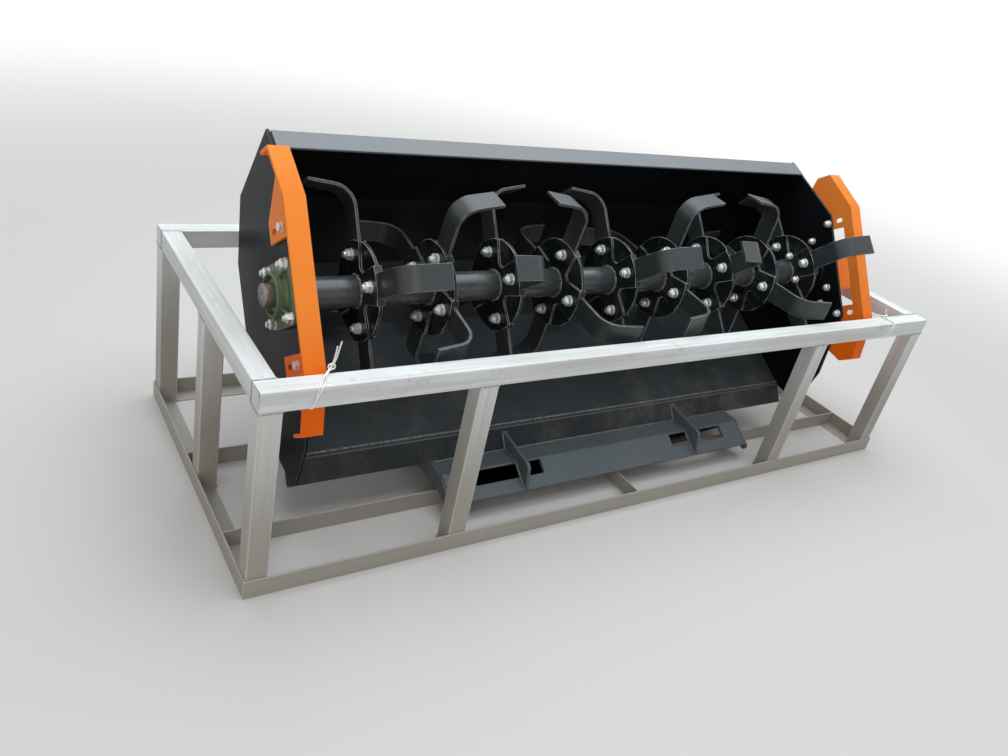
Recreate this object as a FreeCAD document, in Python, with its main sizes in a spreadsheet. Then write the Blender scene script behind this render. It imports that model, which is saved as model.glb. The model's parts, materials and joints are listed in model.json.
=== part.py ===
import FreeCAD, Part
import math
import os
import sys

from FreeCAD import Placement, Rotation, Vector

# Rotary tiller for a loader's quick attach frame, laid on its mounting plate in its steel crate.
# Row frame: X along the rotor, -Y the ground side that faces out of the crate, +Z up, in millimetres.
# The origin is the middle of the crate's footprint, on the floor.

doc = FreeCAD.newDocument("RotaryTiller")
sheet = doc.addObject("Spreadsheet::Sheet", "Sizes")

SIZES = (
    # crate of square tube on a base of angle
    ("crate_height", 530), ("crate_tube", 50), ("crate_wall", 2.5), ("angle_leg", 50),
    ("angle_wall", 4), ("mid_post_offset", 606), ("end_post_y", -35), ("front_rail_y", -262),
    ("back_rail_y", 63), ("cross_x", 4),
    # room that the crate leaves round the tiller, which leans on its front top tube
    ("left_room", 49), ("right_room", 27), ("back_room", 124), ("lean_gap", 0.3), ("tine_room", 5),
    # tiller: how far it is tipped from its working stance, and its plates
    ("tilt", 33.8), ("inner_width", 1830), ("side_wall", 8), ("hood_wall", 6),
    # hood section, in the tiller's own frame: reach along the ground and height over the rotor
    ("hood_top", 338), ("plate_rear_reach", 378), ("plate_rear_height", 12), ("lip_inset", 16),
    ("rear_lip", 48), ("rear_fold_reach", 281), ("rear_fold_height", 254), ("top_rear_reach", 129),
    ("top_front_reach", 56), ("front_fold_reach", 383), ("front_fold_height", 182),
    ("front_flange", 63.6), ("plate_skirt", 113), ("plate_skirt_reach", 166),
    ("plate_nose_reach", 446), ("plate_nose_height", 110), ("plate_nose_round", 25),
    ("plate_front_reach", 354), ("plate_front_height", 5),
    # skid shoes
    ("shoe_width", 48), ("shoe_wall", 8), ("shoe_sole", 184), ("shoe_run", 374), ("shoe_ramp", 136),
    ("shoe_ramp_angle", 27), ("shoe_tab", 48), ("shoe_forward", 9), ("shoe_web", 34),
    ("bracket_top", 45), ("bracket_reach", 179), ("bracket_inner", 128), ("slot_reach", 153),
    ("slot_upper", 15), ("slot_middle", -40), ("slot_lower", -135), ("slot_width", 14),
    ("slot_length", 26),
    # rotor
    ("tube_diameter", 76), ("tube_wall", 8), ("tube_gap", 12), ("flange_count", 9),
    ("flange_diameter", 240), ("cover_wall", 6), ("lobe_angle", 45), ("gap_depth", 60),
    ("gap_land", 18), ("tine_wall", 8), ("tine_width", 60), ("tine_reach", 259.5),
    ("tine_root", 46), ("tine_bend", 58), ("tine_bend_angle", 81), ("tine_spread", 110),
    ("tine_phase", -2.3), ("tine_step", 46.45), ("left_end_room", 57), ("right_end_room", 9),
    # left bearing and stub shaft
    ("stub_diameter", 55), ("stub_end", 58), ("stub_grip", 60), ("bearing_flange", 150),
    ("bearing_corner", 20), ("bearing_plate", 16), ("bearing_boss_diameter", 104),
    ("bearing_depth", 40), ("running_clearance", 0.05), ("plate_bore_clearance", 4),
    # right drive: motor in its guard, and the coupling between it and the rotor
    ("motor_width", 112), ("motor_length", 165), ("guard_side_room", 14), ("guard_end_room", 30),
    ("guard_wall", 5), ("nose_diameter", 96), ("nose_length", 22), ("drive_shaft_diameter", 40), ("drive_shaft_grip", 70),
    ("bore_end_gap", 1), ("coupling_diameter", 116), ("coupling_wall", 14),
    ("coupling_offset", 24), ("hub_diameter", 70), ("end_gap", 6),
    # mounting plate for the loader
    ("mount_x", -5), ("mount_width", 1150), ("mount_wall", 10), ("mount_ahead", 156),
    ("mount_depth", 394), ("ledge_run", 70), ("ledge_drop", 48.7), ("hook_angle", 45),
    ("hook_land", 70), ("end_nose", 12), ("end_round", 13),
    ("window_inset", 93), ("window_length", 230), ("window_top", 5), ("window_depth", 42),
    ("gusset_inset", 152), ("gusset_wall", 10), ("gusset_height", 26), ("gusset_climb", 0.85),
    ("gusset_setback", 12), ("gusset_toe", 12), ("gusset_round", 20), ("rib_wall", 8),
    ("rib_setback", 28), ("rib_height", 180),
)


def enter(row, alias, value):
    """A row of the sheet: the size's name and its number."""
    sheet.set("A%d" % row, alias)
    sheet.set("B%d" % row, str(value))
    sheet.setAlias("B%d" % row, alias)


for row, (alias, value) in enumerate(SIZES, 1):
    enter(row, alias, value)
doc.recompute()


def size(alias):
    return float(sheet.get(alias))


def between(start, end, share):
    return tuple(start[i] + share * (end[i] - start[i]) for i in (0, 1))


def shift(points, distance):
    """The polyline moved to its left by distance, mitred at its corners."""
    moved = []
    for here, point in enumerate(points):
        normals = []
        for a, b in ((here - 1, here), (here, here + 1)):
            if a < 0 or b >= len(points):
                continue
            run = Vector(points[b][0] - points[a][0], points[b][1] - points[a][1], 0)
            run.normalize()
            normals.append(Vector(-run.y, run.x, 0))
        total = normals[0] if len(normals) == 1 else normals[0] + normals[1]
        total.normalize()
        reach = distance / total.dot(normals[0])
        moved.append((point[0] + total.x * reach, point[1] + total.y * reach))
    return moved


def strip(points, wall):
    """A closed outline for a bent plate: the polyline and its copy one wall to the left."""
    return list(points) + shift(points, wall)[::-1]


def both_ends(points):
    """A shoe's rear half and its mirror image at the front, both set a little forward."""
    forward = size("shoe_forward")
    return ([(height, reach - forward) for height, reach in points]
            + [(height, -reach - forward) for height, reach in points[::-1]])


tilt = math.radians(size("tilt"))


def laid(point):
    """A point of the tiller's own section, as y and z from the rotor's axis in the crate."""
    height, reach = point
    return (height * math.cos(tilt) + reach * math.sin(tilt),
            reach * math.cos(tilt) - height * math.sin(tilt))


# The hood's section in the tiller's own frame, with points as (height over the rotor, reach along the
# ground), from the rear lip round to the front flange, which stands on the mounting plate.
# The lip stands in from the side plates' rear corner, along their edge.
skirt_rear = (-size("plate_skirt"), size("plate_skirt_reach"))
plate_rear = (size("plate_rear_height"), size("plate_rear_reach"))
front_fold = (size("front_fold_height"), -size("front_fold_reach"))
plate_edge = math.hypot(plate_rear[0] - skirt_rear[0], plate_rear[1] - skirt_rear[1])
hood_line = [
    between(plate_rear, skirt_rear, (size("lip_inset") + size("rear_lip")) / plate_edge),
    between(plate_rear, skirt_rear, size("lip_inset") / plate_edge),
    (size("rear_fold_height"), size("rear_fold_reach")),
    (size("hood_top"), size("top_rear_reach")),
    (size("hood_top"), -size("top_front_reach")),
    front_fold,
    (front_fold[0], front_fold[1] - size("front_flange")),
]
mount_under_rotor = -laid(hood_line[6])[1]
hood_out = shift(hood_line, size("hood_wall"))
flange_top = hood_out[6][0]
hood_out[6] = (flange_top, (flange_top * math.sin(tilt) - mount_under_rotor) / math.cos(tilt))

# The skid shoes' sole, along its outer face: a tab, a ramp, the long run, and the same at the front.
half_run = size("shoe_run") / 2
ramp = math.radians(size("shoe_ramp_angle"))
ramp_end = (-size("shoe_sole") + size("shoe_ramp") * math.sin(ramp),
            half_run + size("shoe_ramp") * math.cos(ramp))
tab_end = (ramp_end[0] + size("shoe_tab"), ramp_end[1])
sole_line = both_ends([tab_end, ramp_end, (-size("shoe_sole"), half_run)])


def furthest(line, low, high):
    """How far a line of points reaches towards -Y between two heights."""
    reaches = []
    for (y_1, z_1), (y_2, z_2) in zip(line, line[1:]):
        reaches += [y for y, z in ((y_1, z_1), (y_2, z_2)) if low <= z <= high]
        reaches += [y_1 + (y_2 - y_1) * (z - z_1) / (z_2 - z_1)
                    for z in (low, high) if min(z_1, z_2) < z < max(z_1, z_2)]
    return -min(reaches)


# Where the tiller lies. The lowest corner of its mounting ledge rests on the crate's base, and its
# skid shoes lean on the inner side of the crate's front top tube, which the tines clear as they turn.
ledge_slope = math.hypot(size("ledge_run"), size("ledge_drop"))
mount_level = (size("angle_leg") + size("ledge_drop")
               + size("mount_wall") * size("ledge_run") / ledge_slope)
rotor_z = mount_level + mount_under_rotor
tube_top = size("crate_height") - rotor_z
lean = furthest([laid(point) for point in sole_line], tube_top - size("crate_tube"), tube_top)
tine_sweep = math.hypot(size("tine_reach"), size("tine_width") / 2)
tine_inside = math.sqrt((tine_sweep + size("tine_room"))**2 - max(0.0, -tube_top)**2)
rotor_inside = max(lean + size("lean_gap"), tine_inside)
crate_width = 2 * size("crate_tube") + rotor_inside + laid(hood_out[2])[0] + size("back_room")
guard_length = size("motor_length") + size("guard_end_room") + size("guard_wall")
left_end = size("crate_tube") + size("left_room") + size("stub_end") + size("side_wall")
right_end = size("side_wall") + guard_length + size("right_room") + size("crate_tube")
rotor_room = size("inner_width") - size("left_end_room") - size("right_end_room")
PLACED = (
    ("crate_length", left_end + size("inner_width") + right_end),
    ("crate_width", crate_width),
    ("tiller_x", (left_end - right_end) / 2),
    ("rotor_y", rotor_inside + size("crate_tube") - crate_width / 2),
    ("rotor_z", rotor_z),
    ("guard_size", size("motor_width") + 2 * size("guard_side_room") + 2 * size("guard_wall")),
    ("guard_length", guard_length),
    ("flange_pitch", (rotor_room - 2 * size("tine_spread")) / (size("flange_count") - 1)),
)
for row, (alias, value) in enumerate(PLACED, len(SIZES) + 2):
    enter(row, alias, value)
doc.recompute()

nodes = []


def keep(piece, label):
    piece.Label = label
    nodes.append(piece)
    return piece


def block(label, length, width, height, place):
    """A plain bar: its three sizes and its corner are expressions on the sheet."""
    piece = doc.addObject("Part::Box", label)
    for prop, text in (("Length", length), ("Width", width), ("Height", height)):
        piece.setExpression(prop, text)
    for axis, text in zip("xyz", place):
        piece.setExpression("Placement.Base.%s" % axis, text)
    return piece


def cylinder(name, radius, height, x):
    """A round piece on the rotor's axis, from x towards +X."""
    piece = doc.addObject("Part::Cylinder", name)
    piece.setExpression("Radius", radius)
    piece.setExpression("Height", height)
    piece.Placement = Placement(Vector(), Rotation(Vector(0, 1, 0), 90))
    for axis, text in zip("xyz", (x, "Sizes.rotor_y", "Sizes.rotor_z")):
        piece.setExpression("Placement.Base.%s" % axis, text)
    return piece


def cut(name, base, tool):
    piece = doc.addObject("Part::Cut", name)
    piece.Base = base
    piece.Tool = tool
    piece.Refine = True
    return piece


def fuse(name, pieces):
    piece = doc.addObject("Part::MultiFuse", name)
    piece.Shapes = pieces
    piece.Refine = True
    return piece


def draw(body, name, outlines, offset="0", plane="YZ_Plane"):
    """A sketch on one of the body's own planes, of closed outlines.

    An outline is a list of (y, z) points joined by lines. A point with four numbers ends an arc that
    runs through its last two. A list of one (y, z, radius) is a circle."""
    sketch = body.newObject("Sketcher::SketchObject", name)
    support = [feature for feature in body.Origin.OriginFeatures if feature.Role == plane][0]
    sketch.AttachmentSupport = (support, "")
    sketch.MapMode = "FlatFace"
    sketch.setExpression("AttachmentOffset.Base.z", offset)
    for outline in outlines:
        if len(outline) == 1:
            y, z, radius = outline[0]
            sketch.addGeometry(Part.Circle(Vector(y, z, 0), Vector(0, 0, 1), radius))
            continue
        for start, end in zip(outline, outline[1:] + outline[:1]):
            first = Vector(start[0], start[1], 0)
            last = Vector(end[0], end[1], 0)
            if len(end) == 4:
                sketch.addGeometry(Part.Arc(first, Vector(end[2], end[3], 0), last))
            else:
                sketch.addGeometry(Part.LineSegment(first, last))
    return sketch


def rounded(before, corner, after, radius):
    """The two points that round a corner: where its arc starts, and where it ends."""
    at = Vector(*corner, 0)
    into = (Vector(*before, 0) - at).normalize()
    out = (Vector(*after, 0) - at).normalize()
    half_angle = into.getAngle(out) / 2
    start = at + into * (radius / math.tan(half_angle))
    end = at + out * (radius / math.tan(half_angle))
    inward = (into + out).normalize()
    middle = at + inward * (radius / math.sin(half_angle) - radius)
    return [(start.x, start.y), (end.x, end.y, middle.x, middle.y)]


def pad(body, sketch, length):
    feature = body.newObject("PartDesign::Pad", sketch.Name + "Pad")
    feature.Profile = sketch
    feature.setExpression("Length", length)
    return feature


def tip(body, x, turn=0.0):
    """Sets a body on the rotor's axis at x, tipped with the tiller and turned on by turn degrees."""
    body.Placement = Placement(Vector(), Rotation(Vector(1, 0, 0), turn - size("tilt")))
    for axis, text in zip("xyz", (x, "Sizes.rotor_y", "Sizes.rotor_z")):
        body.setExpression("Placement.Base.%s" % axis, text)


def plate(label, outlines, length, x, tipped=True):
    """A flat or bent plate: its section in the YZ plane, padded along X from x."""
    body = doc.addObject("PartDesign::Body", label)
    pad(body, draw(body, label + "_section", outlines), length)
    if tipped:
        tip(body, x)
    else:
        body.setExpression("Placement.Base.x", x)
    return keep(body, label)


HALF = "Sizes.inner_width / 2"
LEFT_IN = "Sizes.tiller_x - " + HALF
LEFT_OUT = LEFT_IN + " - Sizes.side_wall"
RIGHT_IN = "Sizes.tiller_x + " + HALF
RIGHT_OUT = RIGHT_IN + " + Sizes.side_wall"

# Crate. Square tubes make the top ring and the posts, and steel angle makes the base.
# Each tube is a cut box, and the front and back tubes run over the ends of the side ones.
tube = "Sizes.crate_tube"


def square_tube(label, direction, length, place):
    """A square tube along x, y or z, open at its two ends."""
    bore = "%s - 2 * Sizes.crate_wall" % tube
    outer_sizes = [length if axis == direction else tube for axis in "xyz"]
    bore_sizes = [length if axis == direction else bore for axis in "xyz"]
    bore_place = [at if axis == direction else at + " + Sizes.crate_wall"
                  for axis, at in zip("xyz", place)]
    return cut(label, block(label + "_outer", *outer_sizes, place),
               block(label + "_bore", *bore_sizes, bore_place))


x_low = "-Sizes.crate_length / 2"
x_high = "Sizes.crate_length / 2 - " + tube
y_low = "-Sizes.crate_width / 2"
y_high = "Sizes.crate_width / 2 - " + tube
top = "Sizes.crate_height - " + tube
TOP_RING = (
    # label, direction, length, corner
    ("crate_top_front", "x", "Sizes.crate_length", (x_low, y_low, top)),
    ("crate_top_back", "x", "Sizes.crate_length", (x_low, y_high, top)),
    ("crate_top_left", "y", "Sizes.crate_width - 2 * " + tube, (x_low, y_low + " + " + tube, top)),
    ("crate_top_right", "y", "Sizes.crate_width - 2 * " + tube, (x_high, y_low + " + " + tube, top)),
)
for label, direction, length, place in TOP_RING:
    keep(square_tube(label, direction, length, place), label)

post_height = top + " - Sizes.angle_wall"
middle_left = "-Sizes.mid_post_offset - %s / 2" % tube
middle_right = "Sizes.mid_post_offset - %s / 2" % tube
POST_ROWS = (
    # label, x of each post's corner, y of its corner
    ("crate_front_posts", (x_low, middle_left, middle_right, x_high), y_low),
    ("crate_back_posts", (x_low, middle_left, middle_right, x_high), y_high),
    ("crate_end_posts", (x_low, x_high), "Sizes.end_post_y"),
)
for label, columns, y in POST_ROWS:
    row = doc.addObject("Part::Compound", label)
    row.Links = [square_tube("%s_%d" % (label, number), "z", post_height, (x, y, "Sizes.angle_wall"))
                 for number, x in enumerate(columns, 1)]
    keep(row, label)

# Base angles stand outside the posts, with their flat legs under them.
leg = "Sizes.angle_leg"
wall = "Sizes.angle_wall"
BASE = (
    # label, length, width of the flat leg, its corner, and the same for the upright leg
    ("crate_base_front", "Sizes.crate_length + 2 * " + wall, leg,
     ("-Sizes.crate_length / 2 - " + wall, "-Sizes.crate_width / 2 - " + wall),
     "Sizes.crate_length + 2 * " + wall, wall,
     ("-Sizes.crate_length / 2 - " + wall, "-Sizes.crate_width / 2 - " + wall)),
    ("crate_base_back", "Sizes.crate_length + 2 * " + wall, leg,
     ("-Sizes.crate_length / 2 - " + wall, "Sizes.crate_width / 2 + " + wall + " - " + leg),
     "Sizes.crate_length + 2 * " + wall, wall,
     ("-Sizes.crate_length / 2 - " + wall, "Sizes.crate_width / 2")),
    ("crate_base_left", leg, "Sizes.crate_width + 2 * " + wall + " - 2 * " + leg,
     ("-Sizes.crate_length / 2 - " + wall, "-Sizes.crate_width / 2 - " + wall + " + " + leg),
     wall, "Sizes.crate_width", ("-Sizes.crate_length / 2 - " + wall, "-Sizes.crate_width / 2")),
    ("crate_base_right", leg, "Sizes.crate_width + 2 * " + wall + " - 2 * " + leg,
     ("Sizes.crate_length / 2 + " + wall + " - " + leg, "-Sizes.crate_width / 2 - " + wall + " + " + leg),
     wall, "Sizes.crate_width", ("Sizes.crate_length / 2", "-Sizes.crate_width / 2")),
)
for label, flat_long, flat_wide, flat_at, up_long, up_wide, up_at in BASE:
    flat = block(label + "_flat", flat_long, flat_wide, wall, flat_at + ("0",))
    upright = block(label + "_upright", up_long, up_wide, leg + " - " + wall, up_at + (wall,))
    keep(fuse(label, [flat, upright]), label)

RAILS = (("crate_front_rail", "Sizes.front_rail_y"), ("crate_back_rail", "Sizes.back_rail_y"))
for label, y in RAILS:
    rail_x = "-Sizes.crate_length / 2 - " + wall + " + " + leg
    rail_long = "Sizes.crate_length + 2 * " + wall + " - 2 * " + leg
    flat = block(label + "_flat", rail_long, leg, wall, (rail_x, y, "0"))
    upright = block(label + "_upright", "Sizes.crate_length", wall, leg + " - " + wall,
                    ("-Sizes.crate_length / 2", y, wall))
    keep(fuse(label, [flat, upright]), label)

CROSS = (
    # from y, to y
    ("-Sizes.crate_width / 2", "Sizes.front_rail_y"),
    ("Sizes.front_rail_y + " + leg, "Sizes.back_rail_y"),
    ("Sizes.back_rail_y + " + leg, "Sizes.crate_width / 2"),
)
cross = []
for place, (start, end) in enumerate(CROSS, 1):
    cross.append(block("cross_%d" % place, wall, "(%s) - (%s)" % (end, start), leg + " - " + wall,
                       ("Sizes.cross_x", start, wall)))
members = doc.addObject("Part::Compound", "crate_cross_member")
members.Links = cross
keep(members, "crate_cross_member")

# Hood, of plates welded between the side plates, each one span of the hood's section.
HOOD_PANELS = ("hood_rear_lip", "hood_rear_panel", "hood_upper_rear_panel", "hood_top_panel",
               "hood_front_panel", "hood_front_flange")
for first, label in enumerate(HOOD_PANELS):
    section = hood_line[first:first + 2] + hood_out[first:first + 2][::-1]
    plate(label, [section], "Sizes.inner_width", LEFT_IN)

# Side plates, cut from flat plate to the hood's section with a skirt below it.
nose = (size("plate_nose_height"), -size("plate_nose_reach"))
front_corner = (size("plate_front_height"), -size("plate_front_reach"))
skirt_front = (skirt_rear[0], -skirt_rear[1])
side_outline = ([plate_rear] + hood_out[2:6]
                + rounded(hood_out[5], nose, front_corner, size("plate_nose_round"))
                + [front_corner, skirt_front, skirt_rear])
stub_hole = (0.0, 0.0, size("stub_diameter") / 2 + size("plate_bore_clearance"))
drive_hole = (0.0, 0.0, size("nose_diameter") / 2)
plate("side_plate_left", [side_outline, [stub_hole]], "Sizes.side_wall", LEFT_OUT)
plate("side_plate_right", [side_outline, [drive_hole]], "Sizes.side_wall", RIGHT_IN)

# Skid shoes: a flat bar sole with its ends turned up, and a slotted web that bolts to the side plate.
sole_section = strip(sole_line, size("shoe_wall"))
web_half = [tab_end, (size("bracket_top"), size("bracket_reach")),
            (size("bracket_top"), size("bracket_inner")),
            (-size("shoe_sole") + size("shoe_web"), size("bracket_inner"))]
web_outline = both_ends(web_half) + sole_line[1:5][::-1]


def slot(height, reach):
    """A slot that runs up and down the bracket, with its corners clipped."""
    half_width = size("slot_width") / 2
    half_length = size("slot_length") / 2
    land = half_width * math.tan(math.radians(22.5))
    straight = half_length - half_width + land
    corner = [(half_length, land), (straight, half_width)]
    half = corner + [(-along, across) for along, across in corner[::-1]]
    return [(height + along, reach + across) for along, across in half
            ] + [(height + along, reach - across) for along, across in half[::-1]]


slots = [slot(size(row), side * size("slot_reach") - size("shoe_forward"))
         for row in ("slot_upper", "slot_middle", "slot_lower") for side in (-1, 1)]
SHOES = (
    # side, x of the sole, and how far in the web stands from the sole's low edge
    ("left", LEFT_OUT + " - Sizes.shoe_width", "Sizes.shoe_width - Sizes.shoe_wall"),
    ("right", RIGHT_OUT, "0"),
)
for side, sole_x, web_offset in SHOES:
    body = doc.addObject("PartDesign::Body", "shoe_" + side)
    pad(body, draw(body, "sole_" + side, [sole_section]), "Sizes.shoe_width")
    pad(body, draw(body, "web_" + side, [web_outline] + slots, web_offset), "Sizes.shoe_wall")
    tip(body, sole_x)
    keep(body, "shoe_" + side)

# Mounting plate. Its face is level in the crate. Its ledge turns down at the front, and its hook is
# folded back under it along a strip that is welded to the plate's back edge. The hook's tip rests on
# the crate's base as the ledge does.
front_y = size("rotor_y") - size("mount_ahead")
back_y = front_y + size("mount_depth")
land_y = back_y - size("hook_land")
mount_low = mount_level - size("ledge_drop")
hook_drop = mount_level - size("angle_leg")
hook_run = hook_drop / math.tan(math.radians(size("hook_angle")))
mount_line = [(front_y - size("ledge_run"), mount_low), (front_y, mount_level), (back_y, mount_level),
              (back_y - hook_run, mount_level - hook_drop)]
mount_in = shift(mount_line, -size("mount_wall"))
face_level = mount_in[1][1]
BENT_LEFT = "Sizes.mount_x - Sizes.mount_width / 2 + Sizes.rib_wall"
BENT_WIDTH = "Sizes.mount_width - 2 * Sizes.rib_wall"
MOUNT_SECTIONS = (
    ("mount_ledge", [mount_line[0], mount_line[1], mount_in[1], mount_in[0]]),
    ("mount_plate", [mount_line[1], (land_y, mount_level), (land_y, face_level), mount_in[1]]),
    ("mount_hook", [(land_y, mount_level), mount_line[2], mount_line[3], mount_in[3], mount_in[2],
                    (land_y, face_level)]),
)
mount = {label: plate(label, [section], BENT_WIDTH, BENT_LEFT, tipped=False)
         for label, section in MOUNT_SECTIONS}

# Two windows through the ledge, for the loader's locking wedges, cut square to its face.
cut_over = size("mount_wall")
window_edge = [between(mount_line[1], mount_line[0], depth / ledge_slope)
               for depth in (size("window_top"), size("window_top") + size("window_depth"))]
window_section = shift(window_edge, cut_over) + shift(window_edge, -2 * cut_over)[::-1]
ledge = mount["mount_ledge"]
WINDOWS = (
    # side, where it starts from the ledge's left end
    ("left", "Sizes.window_inset - Sizes.rib_wall"),
    ("right", "Sizes.mount_width - Sizes.rib_wall - Sizes.window_inset - Sizes.window_length"),
)
for side, start in WINDOWS:
    pocket = ledge.newObject("PartDesign::Pocket", "window_cut_" + side)
    pocket.Profile = draw(ledge, "window_" + side, [window_section], start)
    pocket.Reversed = True
    pocket.setExpression("Length", "Sizes.window_length")

# An end plate closes each end of the bent plates. Its half round nose stands out past the ledge's
# low edge and hangs under it.
nose_run = [between(mount_line[1], mount_line[0], 1 + past / ledge_slope)
            for past in (size("end_nose") - size("end_round"), size("end_nose"))]
nose_end = shift([nose_run[0], mount_line[1]], -2 * size("end_round"))[0]
nose_tip = shift([nose_run[1], mount_line[1]], -size("end_round"))[0]
end_outline = [mount_line[1], nose_run[0], nose_end + nose_tip, (front_y, mount_low),
               mount_line[3], mount_line[2]]
END_PLATES = (("left", BENT_LEFT + " - Sizes.rib_wall"), ("right", BENT_LEFT + " + " + BENT_WIDTH))
for side, x in END_PLATES:
    plate("mount_end_" + side, [end_outline], "Sizes.rib_wall", x, tipped=False)


def stored(point):
    """A point of the tiller's own section, as y and z in the crate."""
    y, z = laid(point)
    return (size("rotor_y") + y, size("rotor_z") + z)


# Gussets from the front flange to the ledge, and ribs between the plate and the hood's front panel.
flange_foot = stored(hood_line[6])
gusset_tip = between(flange_foot, stored(hood_line[5]), size("gusset_climb"))
ledge_foot = mount_line[0]
toe = (ledge_foot[0], ledge_foot[1] + size("gusset_toe"))
knee = (ledge_foot[0] + size("gusset_setback"), mount_level + size("gusset_height"))
gusset = ([flange_foot, mount_line[1], ledge_foot, toe]
          + rounded(toe, knee, gusset_tip, size("gusset_round")) + [gusset_tip])
panel_low = stored(hood_out[5])
panel_high = stored(hood_out[4])
panel_length = math.hypot(panel_high[0] - panel_low[0], panel_high[1] - panel_low[1])
rib = [stored(hood_out[6]), (back_y - size("rib_setback"), mount_level),
       between(panel_low, panel_high, size("rib_height") / panel_length), panel_low]
GUSSETS = (
    ("left", "Sizes.mount_x - Sizes.mount_width / 2 + Sizes.window_inset + Sizes.gusset_inset"),
    ("right", "Sizes.mount_x + Sizes.mount_width / 2 - Sizes.window_inset - Sizes.gusset_inset"),
)
for side, centre in GUSSETS:
    plate("mount_gusset_" + side, [gusset], "Sizes.gusset_wall", centre + " - Sizes.gusset_wall / 2",
          tipped=False)
    plate("mount_rib_" + side, [rib], "Sizes.rib_wall", centre + " - Sizes.rib_wall / 2", tipped=False)


def square_outline(side, corner=0.0):
    """A square about the rotor's axis, with its corners rounded if a radius is given."""
    half = side / 2
    points = [(-half, -half), (half, -half), (half, half), (-half, half)]
    if not corner:
        return points
    outline = []
    for before, at, after in zip(points[-1:] + points[:-1], points, points[1:] + points[:1]):
        outline += rounded(before, at, after, corner)
    return outline


# Left bearing: a square flanged housing, bolted to the side plate round the stub shaft.
bore = (0.0, 0.0, size("stub_diameter") / 2 + size("running_clearance"))
boss = (0.0, 0.0, size("bearing_boss_diameter") / 2)
bearing = doc.addObject("PartDesign::Body", "bearing_left")
pad(bearing, draw(bearing, "bearing_boss", [[boss], [bore]]), "Sizes.bearing_depth")
pad(bearing, draw(bearing, "bearing_flange_outline",
                  [square_outline(size("bearing_flange"), size("bearing_corner")), [bore]],
                  "Sizes.bearing_depth - Sizes.bearing_plate"), "Sizes.bearing_plate")
tip(bearing, LEFT_OUT + " - Sizes.bearing_depth")
keep(bearing, "bearing_left")

# Right drive: the motor's nose through the plate, its body behind it, and the square guard over it.
outer_square = square_outline(size("guard_size"))
inner_square = square_outline(size("guard_size") - 2 * size("guard_wall"))
guard = doc.addObject("PartDesign::Body", "motor_guard")
pad(guard, draw(guard, "guard_ring", [outer_square, inner_square]), "Sizes.guard_length - Sizes.guard_wall")
pad(guard, draw(guard, "guard_cap", [outer_square], "Sizes.guard_length - Sizes.guard_wall"),
    "Sizes.guard_wall")
tip(guard, RIGHT_OUT)
keep(guard, "motor_guard")

NOSE_X = RIGHT_IN + " - Sizes.nose_length"
motor_block = doc.addObject("PartDesign::Body", "motor_block")
pad(motor_block, draw(motor_block, "motor_outline", [square_outline(size("motor_width"))]),
    "Sizes.motor_length")
tip(motor_block, RIGHT_OUT)
motor = fuse("motor_body", [
    cylinder("motor_nose", "Sizes.nose_diameter / 2", "Sizes.nose_length + Sizes.side_wall", NOSE_X),
    motor_block,
])
keep(cut("drive_motor", motor,
         cylinder("motor_bore", "Sizes.drive_shaft_diameter / 2 + Sizes.running_clearance",
                  "Sizes.nose_length + Sizes.drive_shaft_grip + Sizes.bore_end_gap", NOSE_X)),
     "drive_motor")

# Rotor tube, its left stub and its right coupling. The stub is stepped to fill the tube's end.
first_x = LEFT_IN + " + Sizes.left_end_room + Sizes.tine_spread"
last_x = RIGHT_IN + " - Sizes.right_end_room - Sizes.tine_spread"
tube_start = LEFT_IN + " + Sizes.tube_gap"
coupling_x = last_x + " + Sizes.coupling_offset"
tube_length = "(%s) - (%s)" % (coupling_x, tube_start)
tube_bore = "Sizes.tube_diameter / 2 - Sizes.tube_wall"
rotor_tube = cut("rotor_tube",
                 cylinder("rotor_tube_outer", "Sizes.tube_diameter / 2", tube_length, tube_start),
                 cylinder("rotor_tube_bore", tube_bore, tube_length, tube_start))
keep(rotor_tube, "rotor_tube")
stub = fuse("stub_shaft", [
    cylinder("stub_journal", "Sizes.stub_diameter / 2",
             "Sizes.stub_end + Sizes.side_wall + Sizes.tube_gap", LEFT_OUT + " - Sizes.stub_end"),
    cylinder("stub_plug", tube_bore, "Sizes.stub_grip", tube_start),
])
keep(stub, "stub_shaft")
hub_x = coupling_x + " + Sizes.coupling_wall"
hub_end = NOSE_X + " - Sizes.end_gap"
coupling = fuse("drive_coupling", [
    cylinder("coupling_flange", "Sizes.coupling_diameter / 2", "Sizes.coupling_wall", coupling_x),
    cylinder("coupling_hub", "Sizes.hub_diameter / 2", "(%s) - (%s)" % (hub_end, hub_x), hub_x),
    cylinder("coupling_shaft", "Sizes.drive_shaft_diameter / 2",
             "Sizes.end_gap + Sizes.nose_length + Sizes.drive_shaft_grip", hub_end),
])
keep(coupling, "drive_coupling")


def on_rotor(y, z, angle):
    """A rotor point at radius y and side z, turned from straight down towards the rear."""
    c = math.cos(angle)
    s = math.sin(angle)
    return (-y * c - z * s, y * s - z * c)


def lobed_outline(phase):
    """A cover plate: a lobe over each tine, with a V gap between lobes that has a short land."""
    radius = size("flange_diameter") / 2
    half_lobe = math.radians(size("lobe_angle") / 2)
    half_land = size("gap_land") / 2
    points = []
    for lobe in range(4):
        middle = phase + lobe * math.pi / 2
        gap = middle + math.pi / 4
        points.append(on_rotor(radius, 0, middle - half_lobe))
        points.append(on_rotor(radius, 0, middle + half_lobe) + on_rotor(radius, 0, middle))
        points.append(on_rotor(size("gap_depth"), half_land, gap))
        points.append(on_rotor(size("gap_depth"), -half_land, gap))
    return points


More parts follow.
